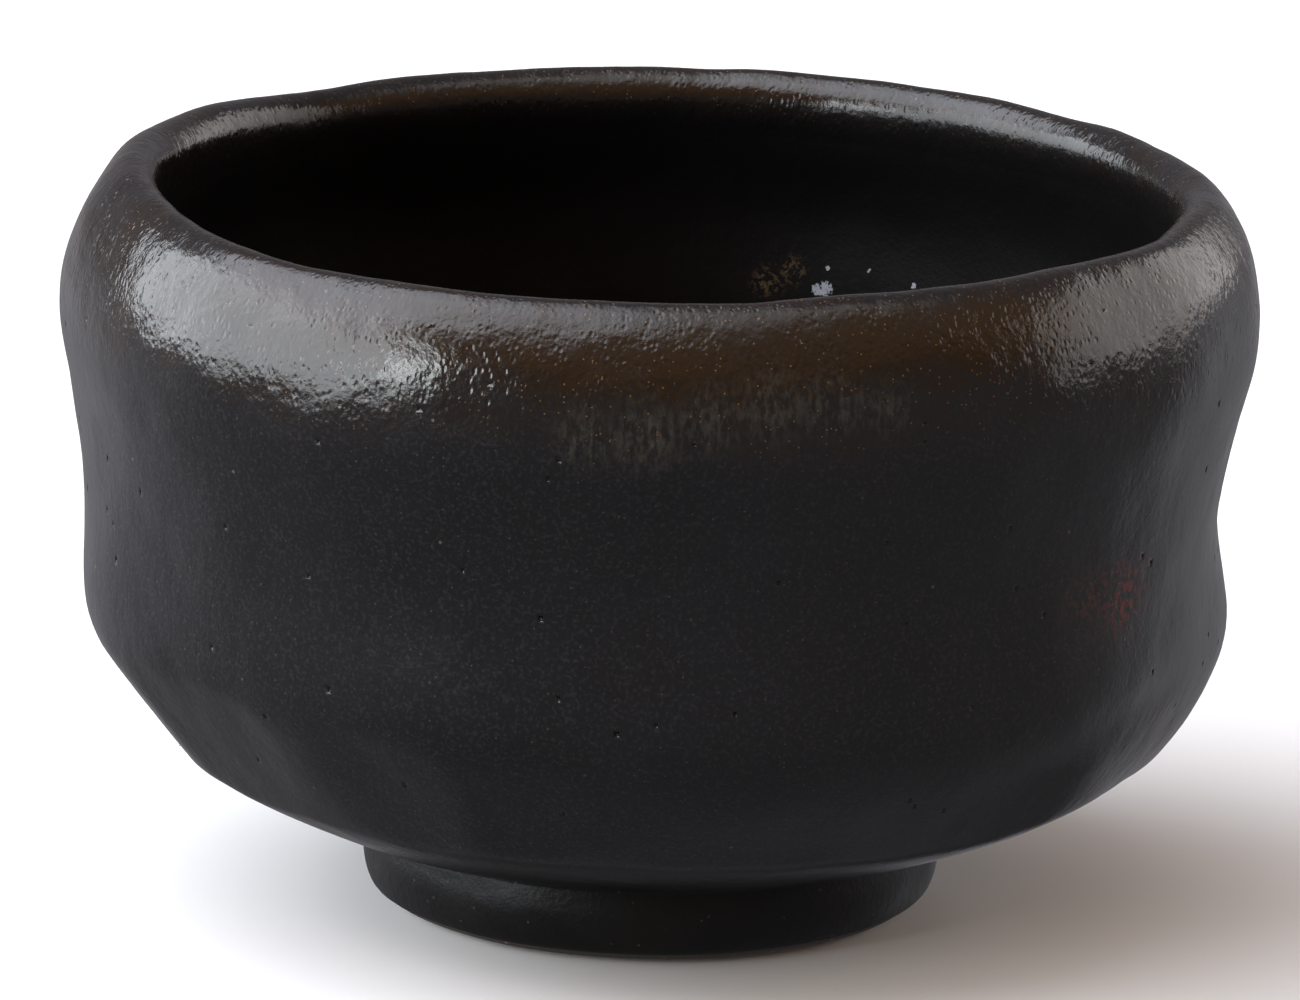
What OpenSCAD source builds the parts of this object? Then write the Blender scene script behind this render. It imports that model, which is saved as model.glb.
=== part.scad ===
// A hand-formed black tea bowl (chawan) in the raku manner.
// A low, wide clay bowl with a full shoulder, a slack waist and a low hip stands on a small foot
// ring. The ring was made apart and set on with slip. Thin glaze coats lie over the clay, each
// as thick as it was brushed on. The frame's origin is in the middle of the foot, on the table.
// +Z is up, -Y is the front of the bowl and +X is its right-hand side.

/* [Bowl] */
// Width across the shoulder, over the glaze
bowl_w = 122.5; // [112:1:130]
// Height of the mean lip above the table, over the glaze
bowl_h = 76; // [72:1:80]
// Width across the crest of the lip
mouth_w = 112; // [108:0.5:114]
// Width across the waist
waist_w = 116.5; // [110:0.5:120]
// Wall thickness at the shoulder
wall_t = 5.6; // [4.5:0.1:7]
// Thickness of the floor in the middle
floor_t = 5.6; // [4.5:0.1:7]

/* [Foot] */
// Width of the foot ring at its widest, without its glaze
foot_w = 59.2; // [54:0.2:62]
// Height of the foot ring
foot_h = 8.8; // [7.5:0.1:10]
// Width of the foot ring's flat contact face, measured across the ring
contact_t = 4; // [3:0.1:5]
// Outer width of the flat contact face
contact_w = 49.4; // [46:0.2:51]
// Thickness of the slip that beds the foot ring to the bowl
slip_t = 0.4; // [0.2:0.1:0.8]

/* [Glaze] */
// Thickness of the base coat, inside and outside
glaze_t = 0.45; // [0.3:0.05:0.6]
// Greatest thickness of the second coat over the lip and shoulder
lip_glaze_t = 0.35; // [0.2:0.05:0.5]
// How far the bare clay at the contact face reaches up the foot
bare_h = 1.2; // [0.8:0.1:2]

/* [Detail] */
// Facets round the bowl
sides = 48; // [24:12:60]
// Steps between two neighbouring points of the outline
steps = 2; // [2:1:3]

/* [Hidden] */
$fn = 96;

clay_colour = [0.24, 0.20, 0.18];
slip_colour = [0.42, 0.34, 0.28];
glaze_colour = [0.10, 0.10, 0.11];
inner_colour = [0.07, 0.07, 0.08];
lip_colour = [0.20, 0.17, 0.14];
recess_colour = [0.14, 0.13, 0.13];

shoulder_r = bowl_w / 2 - glaze_t - 0.3;
mouth_r = mouth_w / 2;
waist_r = waist_w / 2 - glaze_t;
hip_r = waist_r + 0.3;
base_z = foot_h + slip_t;
lip_z = bowl_h - glaze_t - lip_glaze_t;
wall_h = lip_z - base_z;
floor_z = base_z + floor_t;
foot_r = foot_w / 2;
foot_top_r = foot_r - 0.8;
contact_r = contact_w / 2;
recess_r = contact_r - contact_t - 0.8;
// The flat base of the clay reaches this far, just outside the glazed foot.
base_r = foot_r + glaze_t + 0.1;
// The foot's glaze reaches this far under the bowl, just short of the facets of the outer coat.
seam_r = base_r * cos(180 / sides) - 0.02;

// The clay's outline, up the outside from the foot, over the lip, and down to the middle of the
// floor. Each point is [radius, height].
OUTSIDE = [
    [base_r, base_z],
    [36, base_z + 0.02 * wall_h],
    [43, base_z + 0.065 * wall_h],
    [48.7, base_z + 0.112 * wall_h],
    [50.6, base_z + 0.142 * wall_h],
    [hip_r - 2.6, base_z + 0.25 * wall_h],
    [hip_r, base_z + 0.345 * wall_h],
    [waist_r, base_z + 0.49 * wall_h],
    [waist_r + 1.1, base_z + 0.62 * wall_h],
    [shoulder_r, base_z + 0.77 * wall_h],
    [shoulder_r - 0.6, base_z + 0.88 * wall_h],
    [mouth_r + 2.1, base_z + 0.95 * wall_h],
    [mouth_r, lip_z],
];
INSIDE = [
    [mouth_r - 2.2, lip_z - 0.6],
    [mouth_r - 3.2, lip_z - 2.6],
    [mouth_r - 2.6, lip_z - 6.5],
    [shoulder_r - wall_t, base_z + 0.77 * wall_h],
    [waist_r - wall_t + 0.4, base_z + 0.58 * wall_h],
    [waist_r - wall_t - 0.4, base_z + 0.38 * wall_h],
    [47, base_z + 0.23 * wall_h],
    [37, floor_z + 3.6],
    [22, floor_z + 0.9],
    [9, floor_z + 0.1],
    [0, floor_z],
];

// The clay foot's outside, up from the contact face.
FOOT_OUTSIDE_POINTS = [
    [contact_r, 0],
    [foot_r - 2.2, 0.5],
    [foot_r - 0.9, bare_h + 0.2],
    [foot_r - 0.1, 3.6],
    [foot_r, 6],
    [foot_top_r, foot_h],
];
// Above this height the foot's glaze flares out into the corner under the bowl.
pool_z = foot_h - 1.2;

// The thumb and palm marks that pull the bowl out of round. Each is
// [direction, height, reach, push outwards, lift], felt less and less up to its reach.
// No reach comes as far in as the foot, so the base stays flat.
PRESSES = [
    [0, 76, 55, 0.3, -0.3],
    [45, 76, 40, -1.2, 0.3],
    [90, 76, 50, -0.2, 0.3],
    [135, 76, 40, 0.8, -0.6],
    [180, 76, 50, -1.0, 1.2],
    [225, 76, 40, 0, -1.2],
    [270, 76, 50, 0.4, -1.4],
    [315, 76, 40, 0, -0.5],
    [180, 58, 26, 1.2, 0],
    [90, 60, 45, -0.8, 0],
    [270, 58, 40, -0.6, 0],
    [0, 18, 27, 2.8, 0],
    [42, 20, 28, 1.0, 0],
    [318, 20, 28, 1.0, 0],
    [180, 16, 24, -2.4, 0],
    [138, 20, 28, -0.8, 0],
    [222, 20, 28, -1.8, 0],
    [166, 35, 21, 1.1, 0],
    [194, 35, 21, 1.1, 0],
    [0, 47, 28, -0.8, 0],
];
// The marks lie at this distance from the axis.
press_r = 57;

// A smooth curve through four points, the same as a Catmull-Rom spline, at t from 0 to 1
// between the middle two.
function between(a, b, c, d, t) =
    0.5 * (2 * b + (c - a) * t + (2 * a - 5 * b + 4 * c - d) * t * t
        + (3 * b - a - 3 * c + d) * t * t * t);

// All the points of a smooth curve through a list of points. Both ends are run on in a
// straight line.
function smooth_line(p, n) =
    let (last = len(p) - 1)
    [
        for (i = [0 : last - 1])
            let (
                before = i == 0 ? 2 * p[0] - p[1] : p[i - 1],
                after = i == last - 1 ? 2 * p[last] - p[last - 1] : p[i + 2]
            )
            for (k = [0 : n - 1]) between(before, p[i], p[i + 1], after, k / n),
        p[last],
    ];

CLAY_LINE = smooth_line(concat(OUTSIDE, INSIDE), steps);
CREST = (len(OUTSIDE) - 1) * steps;
LAST = len(CLAY_LINE) - 1;
FOOT_OUTSIDE = smooth_line(FOOT_OUTSIDE_POINTS, steps);
FOOT_INSIDE = [
    [contact_r - contact_t, 0],
    [recess_r, 0.8],
    [recess_r, foot_h],
];

// The direction out of the clay at point i of a line: straight down at the base, straight up at
// the middle of the floor, and square to the line between.
function out_of(line, i) =
    i == 0 ? [0, -1]
    : i == len(line) - 1 ? [0, 1]
    : let (run = line[i + 1] - line[i - 1]) [run[1], -run[0]] / norm(run);

// The line of a coat's outer face, for a thickness given at each point.
function coated(line, thick) =
    [for (i = [0 : len(line) - 1]) line[i] + thick[i] * out_of(line, i)];

BASE_COAT = coated(CLAY_LINE, [for (i = [0 : LAST]) glaze_t]);

// The second coat runs between these two points of the line, and thins towards both.
LIP_START = 8 * steps;
LIP_END = 15 * steps;
lip_edge_t = 0.08;
function lip_coat_t(i) =
    let (from_edge = min(i - LIP_START, LIP_END - i) / steps)
    from_edge < 0 ? 0 : lip_edge_t + (lip_glaze_t - lip_edge_t) * min(1, from_edge);
SECOND_COAT = coated(BASE_COAT, [for (i = [0 : LAST]) lip_coat_t(i)]);

function stretch(line, first, last) = [for (i = [first : last]) line[i]];
function backwards(line) = [for (i = [len(line) - 1 : -1 : 0]) line[i]];

// How much of a press is felt at a distance, given as a share of its reach.
function felt(share) = share >= 1 ? 0 : pow(1 - share, 2) * (1 + 2 * share);

function pressed_by(press, at) =
    let (
        way = [cos(press[0]), sin(press[0])],
        centre = [press_r * way[0], press_r * way[1], press[1]],
        share = felt(norm(at - centre) / press[2])
    )
    share * [press[3] * way[0], press[3] * way[1], press[4]];

// Adds up a list of vectors from item i on.
function total(list, i = 0) = i == len(list) ? [0, 0, 0] : list[i] + total(list, i + 1);

// Where a point of the evenly turned bowl ends up after the hand shaping.
function shaped(at) = at + total([for (press = PRESSES) pressed_by(press, at)]);

function ring(point) = [
    for (j = [0 : sides - 1])
        shaped([point[0] * cos(360 * j / sides), point[0] * sin(360 * j / sides), point[1]])
];

// Two triangles for each side between two rings that start at points a and b. A stretch of
// outline is cut along the same diagonals whichever way it runs, so coats fit what they cover.
function band(a, b, rising) = [
    for (j = [0 : sides - 1])
        let (k = (j + 1) % sides)
        each rising
            ? [[a + j, b + j, b + k], [a + j, b + k, a + k]]
            : [[a + j, b + j, a + k], [b + j, b + k, a + k]],
];

function is_rising(from, to) = to[1] > from[1] || (to[1] == from[1] && to[0] > from[0]);

// A ring-shaped solid from a closed outline that runs anticlockwise round the section.
module shaped_ring(line) {
    count = len(line);
    polyhedron(
        points = [for (point = line) each ring(point)],
        faces = [
            for (i = [0 : count - 1])
                let (next = (i + 1) % count)
                each band(i * sides, next * sides, is_rising(line[i], line[next])),
        ],
        convexity = 8
    );
}

// A solid with no hole: the outline runs from a lower point on the axis to an upper one.
module shaped_solid(low_z, line, high_z) {
    count = len(line);
    low = count * sides;
    high = low + 1;
    top = (count - 1) * sides;
    polyhedron(
        points = [
            for (point = line) each ring(point),
            shaped([0, 0, low_z]),
            shaped([0, 0, high_z]),
        ],
        faces = [
            for (i = [0 : count - 2])
                each band(i * sides, (i + 1) * sides, is_rising(line[i], line[i + 1])),
            for (j = [0 : sides - 1]) [low, j, (j + 1) % sides],
            for (j = [0 : sides - 1]) [high, top + (j + 1) % sides, top + j],
        ],
        convexity = 8
    );
}

// The hand-formed bowl itself: wall, lip and floor, in one piece of clay.
module clay_body() {
    color(clay_colour)
        shaped_solid(base_z, stretch(CLAY_LINE, 0, LAST - 1), floor_z);
}

// The bare ring that the bowl stands on, made apart and set on.
module foot_ring() {
    color(clay_colour)
        rotate_extrude()
            polygon(concat(FOOT_OUTSIDE, backwards(FOOT_INSIDE)));
}

// The thin ring of slip that beds the foot ring to the flat base of the bowl.
module luting_slip() {
    color(slip_colour)
        translate([0, 0, foot_h])
            rotate_extrude()
                translate([recess_r, 0]) square([foot_top_r - recess_r, slip_t]);
}

// The base coat inside the bowl, from the crest of the lip to the middle of the floor.
module inner_glaze() {
    color(inner_colour)
        shaped_solid(
            floor_z,
            concat(
                backwards(stretch(CLAY_LINE, CREST, LAST - 1)),
                stretch(BASE_COAT, CREST, LAST - 1)
            ),
            floor_z + glaze_t
        );
}

// The base coat outside the bowl, from the foot to the crest of the lip.
module outer_glaze() {
    color(glaze_colour)
        shaped_ring(
            concat(stretch(BASE_COAT, 0, CREST), backwards(stretch(CLAY_LINE, 0, CREST)))
        );
}

// The glossy second coat, which runs from just inside the mouth over the lip and shoulder and
// thins out to nothing at both edges.
module lip_glaze() {
    color(lip_colour)
        shaped_ring(
            concat(
                stretch(SECOND_COAT, LIP_START, LIP_END),
                backwards(stretch(BASE_COAT, LIP_START, LIP_END))
            )
        );
}

// The coat on the outside of the foot ring. It stops short of the contact face and pools in the
// corner under the bowl.
module foot_glaze() {
    covered = [for (point = FOOT_OUTSIDE) if (point[1] >= bare_h) point];
    face = coated(covered, [for (point = covered) glaze_t]);
    color(glaze_colour)
        rotate_extrude()
            polygon(
                concat(
                    [for (point = face) if (point[1] > bare_h && point[1] < pool_z) point],
                    [[seam_r, base_z - glaze_t], [seam_r, base_z], [foot_top_r, base_z]],
                    backwards(covered)
                )
            );
}

// The coat inside the foot ring and over the underside of the bowl.
module recess_glaze() {
    color(recess_colour)
        rotate_extrude()
            polygon([
                [0, base_z],
                [0, base_z - glaze_t],
                [recess_r - 3 * glaze_t, base_z - glaze_t],
                [recess_r - glaze_t, base_z - 3 * glaze_t],
                [recess_r - glaze_t, foot_h / 2],
                [recess_r - glaze_t / 2, bare_h],
                [recess_r, bare_h],
                [recess_r, base_z],
            ]);
}

clay_body();
foot_ring();
luting_slip();
inner_glaze();
outer_glaze();
lip_glaze();
foot_glaze();
recess_glaze();
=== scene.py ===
# %% [markdown]
# # A hand-formed black tea bowl
# This lesson gives a packed tea bowl its looks. The clay body, the foot ring and each coat of
# glaze are already there as plain solids, in metres, and they never move. Each coat that shows is
# modelled here again with the marks of the hand and of the kiln, and stands for its plain solid.

# %% Load the frame
import bmesh
import bpy
import math
import random
from mathutils import Matrix, Vector, noise


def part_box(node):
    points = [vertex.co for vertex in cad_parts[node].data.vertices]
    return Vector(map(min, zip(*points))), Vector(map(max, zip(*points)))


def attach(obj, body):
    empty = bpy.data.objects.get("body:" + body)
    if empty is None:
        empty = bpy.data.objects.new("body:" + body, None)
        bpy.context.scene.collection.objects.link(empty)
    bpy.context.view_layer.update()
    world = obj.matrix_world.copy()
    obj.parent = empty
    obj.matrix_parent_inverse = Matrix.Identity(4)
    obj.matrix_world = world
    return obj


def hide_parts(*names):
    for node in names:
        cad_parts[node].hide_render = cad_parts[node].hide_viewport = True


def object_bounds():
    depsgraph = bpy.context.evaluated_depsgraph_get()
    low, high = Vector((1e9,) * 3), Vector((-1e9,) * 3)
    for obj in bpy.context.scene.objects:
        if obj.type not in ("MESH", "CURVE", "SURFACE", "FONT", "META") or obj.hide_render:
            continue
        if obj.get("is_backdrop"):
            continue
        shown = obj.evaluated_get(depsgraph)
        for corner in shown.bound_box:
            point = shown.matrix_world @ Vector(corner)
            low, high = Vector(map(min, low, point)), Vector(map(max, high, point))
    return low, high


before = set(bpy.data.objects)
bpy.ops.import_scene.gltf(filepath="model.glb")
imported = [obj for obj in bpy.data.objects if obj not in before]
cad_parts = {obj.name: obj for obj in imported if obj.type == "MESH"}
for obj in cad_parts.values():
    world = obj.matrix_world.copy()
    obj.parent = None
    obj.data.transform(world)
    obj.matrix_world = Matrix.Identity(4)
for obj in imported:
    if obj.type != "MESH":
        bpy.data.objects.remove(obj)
cad_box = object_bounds()
MM = 0.001
print("the frame's nodes:", sorted(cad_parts))

# %% [markdown]
# ## The camera
# The bowl is seen a little from above, from about an arm's length and a half, with a long lens.
# A long lens keeps the lip's ellipse calm. The camera could be aimed with a constraint, but two
# turns say the same thing plainly: tip it down, then roll it a little.

# %% Set the camera
SEEN_WIDTH = 134.2 * MM
DISTANCE = 850 * MM
TIP = math.radians(14.1)
ROLL = math.radians(1.3)
SENSOR = 36.0
AIM = Vector((-0.6 * MM, 0.0, 41.5 * MM))

camera_data = bpy.data.cameras.new("camera")
camera = bpy.data.objects.new("camera", camera_data)
bpy.context.scene.collection.objects.link(camera)
camera_data.sensor_width = SENSOR
camera_data.lens = SENSOR * DISTANCE / SEEN_WIDTH
camera_data.clip_start = 0.05
camera_data.clip_end = 60.0
camera.location = AIM + DISTANCE * Vector((0.0, -math.cos(TIP), math.sin(TIP)))
turn = Matrix.Rotation(math.pi / 2 - TIP, 4, "X") @ Matrix.Rotation(ROLL, 4, "Z")
camera.rotation_euler = turn.to_euler()
bpy.context.scene.camera = camera
print(f"lens {camera_data.lens:.0f} mm")

# %% [markdown]
# ## The outline
# A pot's shape is one line, from the foot up the outside, over the lip, and down to the middle of
# the floor. The line could be drawn as a curve object. Here it is a short list of the points that
# a potter would name, and a smooth curve is run through them, so that the ridges and the lip can
# have points close together and the slack waist only a few.

# %% Name the outline's points
BASE_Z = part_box("clay_body")[0].z / MM
LIP_Z = 75.8
SHOULDER_R = 61.2
WAIST_R = 58.25
MOUTH_R = 56.0
FLOOR_Z = 15.25
COAT = 0.45

OUTSIDE = [
    (30.15, BASE_Z - COAT),
    (36.1, 10.1),
    (43.3, 13.1),
    (48.9, 16.1),
    (50.9, 18.2),
    (55.9, 25.4),
    (58.55, 31.9),
    (WAIST_R, 41.5),
    (WAIST_R + 1.1, 50.0),
    (SHOULDER_R, 60.0),
    (SHOULDER_R - 0.6, 67.4),
    (MOUTH_R + 2.7, 72.4),
    (MOUTH_R, LIP_Z),
]
INSIDE = [
    (MOUTH_R - 2.4, LIP_Z - 0.5),
    (MOUTH_R - 3.6, LIP_Z - 2.8),
    (MOUTH_R - 3.1, LIP_Z - 6.9),
    (SHOULDER_R - 6.4, 60.0),
    (WAIST_R - 6.1, 47.5),
    (WAIST_R - 6.9, 34.3),
    (46.7, 24.7),
    (36.8, 18.9),
    (22.0, 16.2),
    (9.0, FLOOR_Z + 0.1),
    (1.2, FLOOR_Z),
]
STEPS = 2


def smooth_line(points, steps):
    """A smooth curve through all the points, with this many steps between two neighbours."""
    first = 2 * Vector(points[0]) - Vector(points[1])
    last = 2 * Vector(points[-1]) - Vector(points[-2])
    knots = [first, *(Vector(p) for p in points), last]
    line = []
    for i in range(1, len(knots) - 2):
        a, b, c, d = knots[i - 1 : i + 3]
        for k in range(steps):
            t = k / steps
            bend = (2 * a - 5 * b + 4 * c - d) * t * t + (3 * b - a - 3 * c + d) * t**3
            line.append(0.5 * (2 * b + (c - a) * t + bend))
    return [*line, knots[-2]]


pot_line = smooth_line(OUTSIDE + INSIDE, STEPS)
crest_ring = (len(OUTSIDE) - 1) * STEPS
print(f"{len(pot_line)} rings, the lip's crest is ring {crest_ring}")

# %% [markdown]
# ## Pulling up the wall
# A pot can be spun from its outline in one go. This one is raised the way it was made, ring on
# ring: a circle is laid where the foot joins, and its edge is pulled up, widened or narrowed and
# pulled again. Every ring then has the same number of points, which the hand shaping needs.

# %% Helpers that raise a wall from a ring
SIDES = 96


def leave_all():
    """Leave edit mode and select nothing."""
    if bpy.context.object and bpy.context.object.mode != "OBJECT":
        bpy.ops.object.mode_set(mode="OBJECT")
    bpy.ops.object.select_all(action="DESELECT")


def work_on(piece):
    """Make one piece the only one selected, and the active one."""
    leave_all()
    piece.select_set(True)
    bpy.context.view_layer.objects.active = piece


def raise_wall(name, line, sides=SIDES):
    """An open wall on rings of (radius, height), raised from the first ring by extruding."""
    leave_all()
    radius, height = line[0]
    bpy.ops.mesh.primitive_circle_add(
        vertices=sides, radius=radius * MM, fill_type="NOTHING", location=(0, 0, 0)
    )
    wall = bpy.context.object
    wall.name = name
    wall.data.name = name
    bpy.ops.object.mode_set(mode="EDIT")
    bpy.ops.mesh.select_mode(type="VERT")
    bpy.ops.mesh.select_all(action="SELECT")
    bpy.ops.transform.translate(value=(0, 0, height * MM))
    for next_radius, next_height in line[1:]:
        rise = (next_height - height) * MM
        grow = next_radius / radius
        bpy.ops.mesh.extrude_region_move(TRANSFORM_OT_translate={"value": (0, 0, rise)})
        bpy.ops.transform.resize(value=(grow, grow, 1), center_override=(0, 0, 0))
        radius, height = next_radius, next_height
    return wall


def close_end(piece):
    """Close the last ring, which is still selected, with faces that meet in the middle."""
    bpy.ops.mesh.extrude_region()
    bpy.ops.mesh.merge(type="CENTER")
    bpy.ops.mesh.select_all(action="SELECT")
    bpy.ops.mesh.normals_make_consistent(inside=False)
    work_on(piece)


skin = raise_wall("pot_skin", pot_line)
close_end(skin)
print(f"the skin has {len(skin.data.polygons)} faces")

# %% [markdown]
# ## Thumb and palm marks
# The bowl is out of round because it was squeezed. A sculpt brush could do this, but a brush
# needs a window. A proportional edit is the same thing in words: one point is moved, and all
# within reach follow it, less and less with distance. Each mark below is a direction, a height,
# a reach, a push outwards and a lift.

# %% Press the bowl out of round
PRESS_R = 57.0
PRESSES = [
    (0, 76, 55, 0.3, -0.3),
    (45, 76, 40, -1.2, 0.3),
    (90, 76, 50, -0.2, 0.3),
    (135, 76, 40, 0.8, -0.6),
    (180, 76, 50, -1.0, 1.2),
    (225, 76, 40, 0.0, -1.2),
    (270, 76, 50, 0.4, -1.4),
    (315, 76, 40, 0.0, -0.5),
    (180, 58, 26, 1.2, 0.0),
    (90, 60, 45, -0.8, 0.0),
    (270, 58, 40, -0.6, 0.0),
    (0, 18, 27, 2.8, 0.0),
    (42, 20, 28, 1.0, 0.0),
    (318, 20, 28, 1.0, 0.0),
    (180, 16, 24, -2.4, 0.0),
    (138, 20, 28, -0.8, 0.0),
    (222, 20, 28, -1.8, 0.0),
    (166, 35, 21, 1.1, 0.0),
    (194, 35, 21, 1.1, 0.0),
    (0, 47, 28, -0.8, 0.0),
    (243, 28, 18, -0.5, 0.0),
    (172, 70, 9, -0.45, 0.0),
    (159, 66, 7, -0.3, 0.0),
    (12, 68, 9, -0.35, 0.0),
    (352, 14, 13, 1.3, 0.0),
    (186, 11, 11, -0.8, 0.0),
]


def out_from_axis(direction):
    """The level direction at this angle, counted from the right-hand side towards the back."""
    return Vector((math.cos(math.radians(direction)), math.sin(math.radians(direction)), 0))


def press(piece, direction, height, reach, push, lift, radius=PRESS_R):
    """Move a fingertip point, and with it all of the piece that is within reach."""
    way = out_from_axis(direction)
    work_on(piece)
    bpy.ops.object.mode_set(mode="EDIT")
    bpy.ops.mesh.select_mode(type="VERT")
    bpy.ops.mesh.select_all(action="DESELECT")
    mesh = bmesh.from_edit_mesh(piece.data)
    fingertip = mesh.verts.new(radius * MM * way + Vector((0, 0, height * MM)))
    fingertip.select_set(True)
    bmesh.update_edit_mesh(piece.data)
    bpy.ops.transform.translate(
        value=push * MM * way + Vector((0, 0, lift * MM)),
        use_proportional_edit=True,
        proportional_edit_falloff="SMOOTH",
        proportional_size=reach * MM,
    )
    bpy.ops.mesh.delete(type="VERT")
    bpy.ops.object.mode_set(mode="OBJECT")


for mark in PRESSES:
    press(skin, *mark)
print("after pressing:", [round(size / MM, 1) for size in skin.dimensions])

# %% [markdown]
# The lip was pinched between finger and thumb all the way round, which leaves small dents at
# nearly even steps. They could be placed one by one. Seeded dice place them instead, so they
# look free and still come out the same each time.

# %% Dent the lip
LIP_MARKS = 26
LIP_MARK_Z = 75
dice = random.Random(7)
for k in range(LIP_MARKS):
    direction = 360 * (k + dice.uniform(-0.4, 0.4)) / LIP_MARKS
    reach = dice.uniform(7, 14)
    push = dice.uniform(-0.4, 0.4)
    lift = dice.uniform(-0.35, 0.35)
    press(skin, direction, LIP_MARK_Z, reach, push, lift)
print(f"{LIP_MARKS} small marks on the lip")

# %% [markdown]
# ## Trimming with a spatula
# Below the hip the clay was cut back with a bamboo spatula, which leaves soft flats. A bisect
# would cut right through, so the points that stand out past each flat are laid back on to it,
# as a flatten brush does. Subdividing before and after keeps the ridges between flats soft.

# %% Helpers that subdivide, select, touch and cut flats
OUT_OF_REACH = 100.0


def subdivide(piece, levels):
    """Apply a subdivision surface."""
    work_on(piece)
    smooth = piece.modifiers.new("smooth", "SUBSURF")
    smooth.levels = levels
    smooth.render_levels = levels
    bpy.ops.object.modifier_apply(modifier=smooth.name)


def select_in_edit(piece, kind, wanted):
    """Select the points or faces that are marked in a list, and stay in edit mode."""
    work_on(piece)
    bpy.ops.object.mode_set(mode="EDIT")
    bpy.ops.mesh.select_mode(type=kind)
    bpy.ops.mesh.select_all(action="DESELECT")
    bpy.ops.object.mode_set(mode="OBJECT")
    parts = piece.data.vertices if kind == "VERT" else piece.data.polygons
    parts.foreach_set("select", wanted)
    bpy.ops.object.mode_set(mode="EDIT")


def touch(piece, direction, height):
    """The place, and the face's number, where a finger from outside meets the piece."""
    way = out_from_axis(direction)
    start = OUT_OF_REACH * MM * way + Vector((0, 0, height * MM))
    found, place, normal, number = piece.ray_cast(start, -way)
    return place, number


def trim_flat(piece, direction, high, low, depth):
    """Cut a flat between two heights, this deep: scale to nothing across it."""
    way = out_from_axis(direction)
    top = touch(piece, direction, high)[0]
    foot = touch(piece, direction, low)[0]
    across = Vector((-way.y, way.x, 0))
    out = across.cross(top - foot).normalized()
    middle = (top + foot) / 2 - depth * MM * out
    beyond = [(vertex.co - middle).dot(out) > 0 for vertex in piece.data.vertices]
    select_in_edit(piece, "VERT", beyond)
    bpy.ops.transform.resize(
        value=(1, 1, 0),
        orient_matrix=out.to_track_quat("Z", "Y").to_matrix(),
        orient_matrix_type="GLOBAL",
        constraint_axis=(False, False, True),
        center_override=middle,
    )
    bpy.ops.object.mode_set(mode="OBJECT")


# %% Cut the flats: a few bold ones on the left, many fine ones on the right
BOLD_FLATS = range(96, 276, 20)
BOLD_HEIGHTS = (28.5, 18.2)
FINE_FLATS = (*range(-84, -34, 10), *range(36, 96, 10))
FINE_HEIGHTS = (23.5, 16.4)
FINE_DEPTH = 0.1

subdivide(skin, 1)
for direction in BOLD_FLATS:
    turned = direction + dice.uniform(-3, 3)
    trim_flat(skin, turned, *BOLD_HEIGHTS, dice.uniform(0.05, 0.4))
for direction in FINE_FLATS:
    trim_flat(skin, direction, *FINE_HEIGHTS, FINE_DEPTH)
subdivide(skin, 1)
print(f"the trimmed skin has {len(skin.data.polygons)} faces")

# %% [markdown]
# ## The uneven surface
# Glaze over hand-pinched clay is never even. Two displacements give the slow lumps of the
# fingers and the finer waves of the glaze. Both are procedural, and both fade out near the foot,
# where the coats have to meet the ring.

# %% Helpers that displace a surface


def cloud(name, size):
    """A soft procedural texture for a displacement, with lumps of this size."""
    texture = bpy.data.textures.new(name, "CLOUDS")
    texture.noise_scale = size * MM
    texture.noise_depth = 1
    return texture


def fade_group(piece, name, low, high):
    """A vertex group that rises from nothing at one height to full at another."""
    group = piece.vertex_groups.new(name=name)
    for vertex in piece.data.vertices:
        share = (vertex.co.z / MM - low) / (high - low)
        group.add([vertex.index], min(1.0, max(0.0, share)), "REPLACE")


def displace(piece, texture, strength, group):
    """Push the surface in and out along its normals and apply it."""
    work_on(piece)
    waves = piece.modifiers.new("waves", "DISPLACE")
    waves.texture = texture
    waves.texture_coords = "LOCAL"
    waves.strength = strength * MM
    waves.mid_level = 0.5
    waves.vertex_group = group
    bpy.ops.object.modifier_apply(modifier=waves.name)


def face_out(piece):
    """Make all the faces look outwards."""
    work_on(piece)
    bpy.ops.object.mode_set(mode="EDIT")
    bpy.ops.mesh.select_all(action="SELECT")
    bpy.ops.mesh.normals_make_consistent(inside=False)
    bpy.ops.object.mode_set(mode="OBJECT")


# %% Displace the skin
face_out(skin)
fade_group(skin, "off_the_foot", 10.0, 18.0)
displace(skin, cloud("finger_lumps", 15.0), 0.55, "off_the_foot")
displace(skin, cloud("glaze_waves", 4.5), 0.14, "off_the_foot")
print("after the waves:", [round(size / MM, 1) for size in skin.dimensions])

# %% [markdown]
# ## Parting the skin into coats
# The skin is one surface, so the coats that are cut from it must meet. The inside and the
# outside part along the crest of the lip, under the second coat. Each gets its thickness inwards
# with Solidify, which closes it all round.

# %% Helpers that copy part of the skin and thicken it
SOFT_EDGE = math.radians(50)
HIP_Z = 20
FLOOR_BELOW = 40


def is_floor(normal, level):
    """Whether a place low in the bowl faces upwards."""
    return normal.z > 0.5 and level < FLOOR_BELOW


def is_inside(face):
    """Whether a face of the skin looks towards the bowl's axis or up out of its floor."""
    level = face.center.z / MM
    inward = face.center.xy.dot(face.normal.xy) < 0
    return inward and level > HIP_Z or is_floor(face.normal, level)


def copy_faces(source, name, wanted):
    """A copy of a piece that keeps only the faces that are wanted."""
    work_on(source)
    bpy.ops.object.duplicate()
    part = bpy.context.object
    part.name = name
    part.data.name = name
    select_in_edit(part, "FACE", [not wanted(face) for face in part.data.polygons])
    bpy.ops.mesh.delete(type="FACE")
    bpy.ops.object.mode_set(mode="OBJECT")
    return part


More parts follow.
